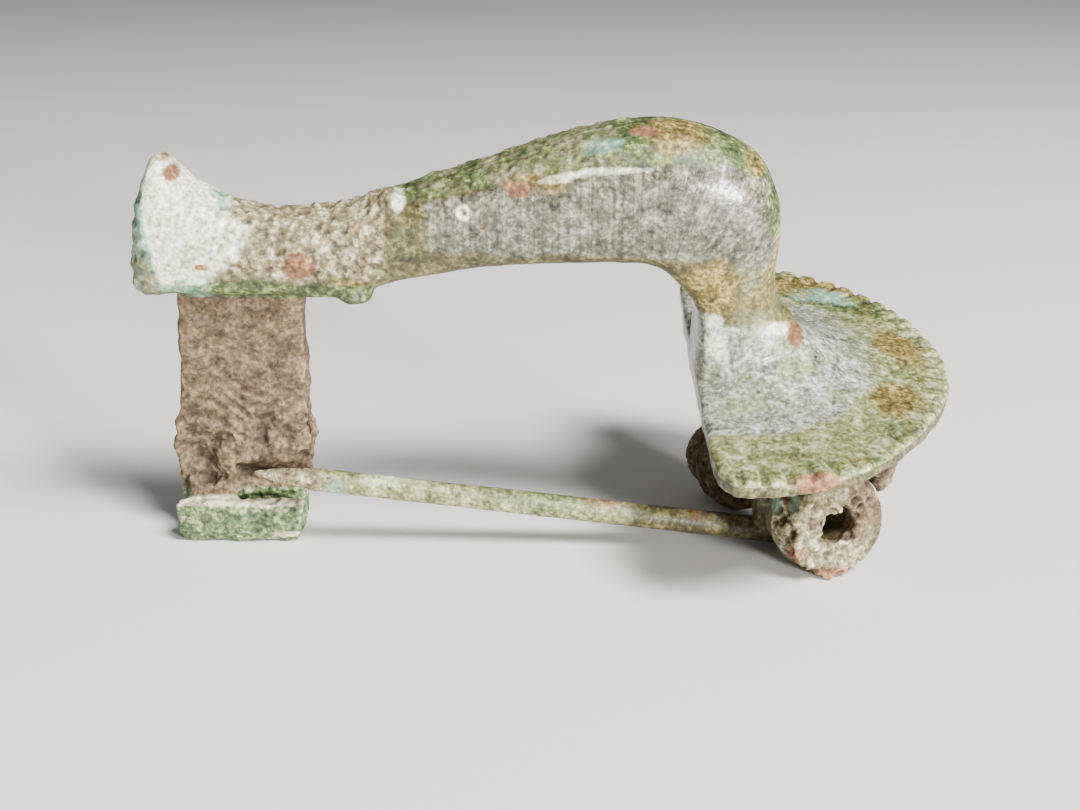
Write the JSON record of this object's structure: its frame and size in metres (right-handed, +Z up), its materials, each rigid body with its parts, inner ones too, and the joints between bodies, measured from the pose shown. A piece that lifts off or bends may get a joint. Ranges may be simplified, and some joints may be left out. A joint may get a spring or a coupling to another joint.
{
  "type": "roman fibula brooch",
  "caption": "Ancient cast bronze knee brooch: arched bow, half-round head plate with a nicked rim, coiled spring with a pin, and a hooked catch plate, corroded.",
  "frame": {"origin": "on the surface the brooch stands on, under the middle of its box", "axes": "+X from the foot to the head plate, +Y away from the side that the pin and the hook are on, +Z up"},
  "size_m": [0.0383, 0.0216, 0.0213],
  "materials": {
    "casting": "cast leaded bronze with an olive to grey-green patina, chalky pale green and ochre crust, dull satin",
    "spring": "wound bronze wire under a pitted tan and rust-brown corrosion crust, matt",
    "pin": "drawn bronze wire with a smooth grey-green patina, dull satin"
  },
  "bodies": {
    "brooch": {"casting": "casting", "spring": "spring"},
    "pin": {"pin": "pin"}
  },
  "joints": [
    {"name": "pin_lift", "type": "hinge", "parent": "brooch", "child": "pin", "pos_m": [0.01225, -0.00143, 0.0023], "axis": [0, 0.9785, 0.2062], "range_deg": [0, 14], "stiffness_Nm_per_rad": 0.01}
  ]
}
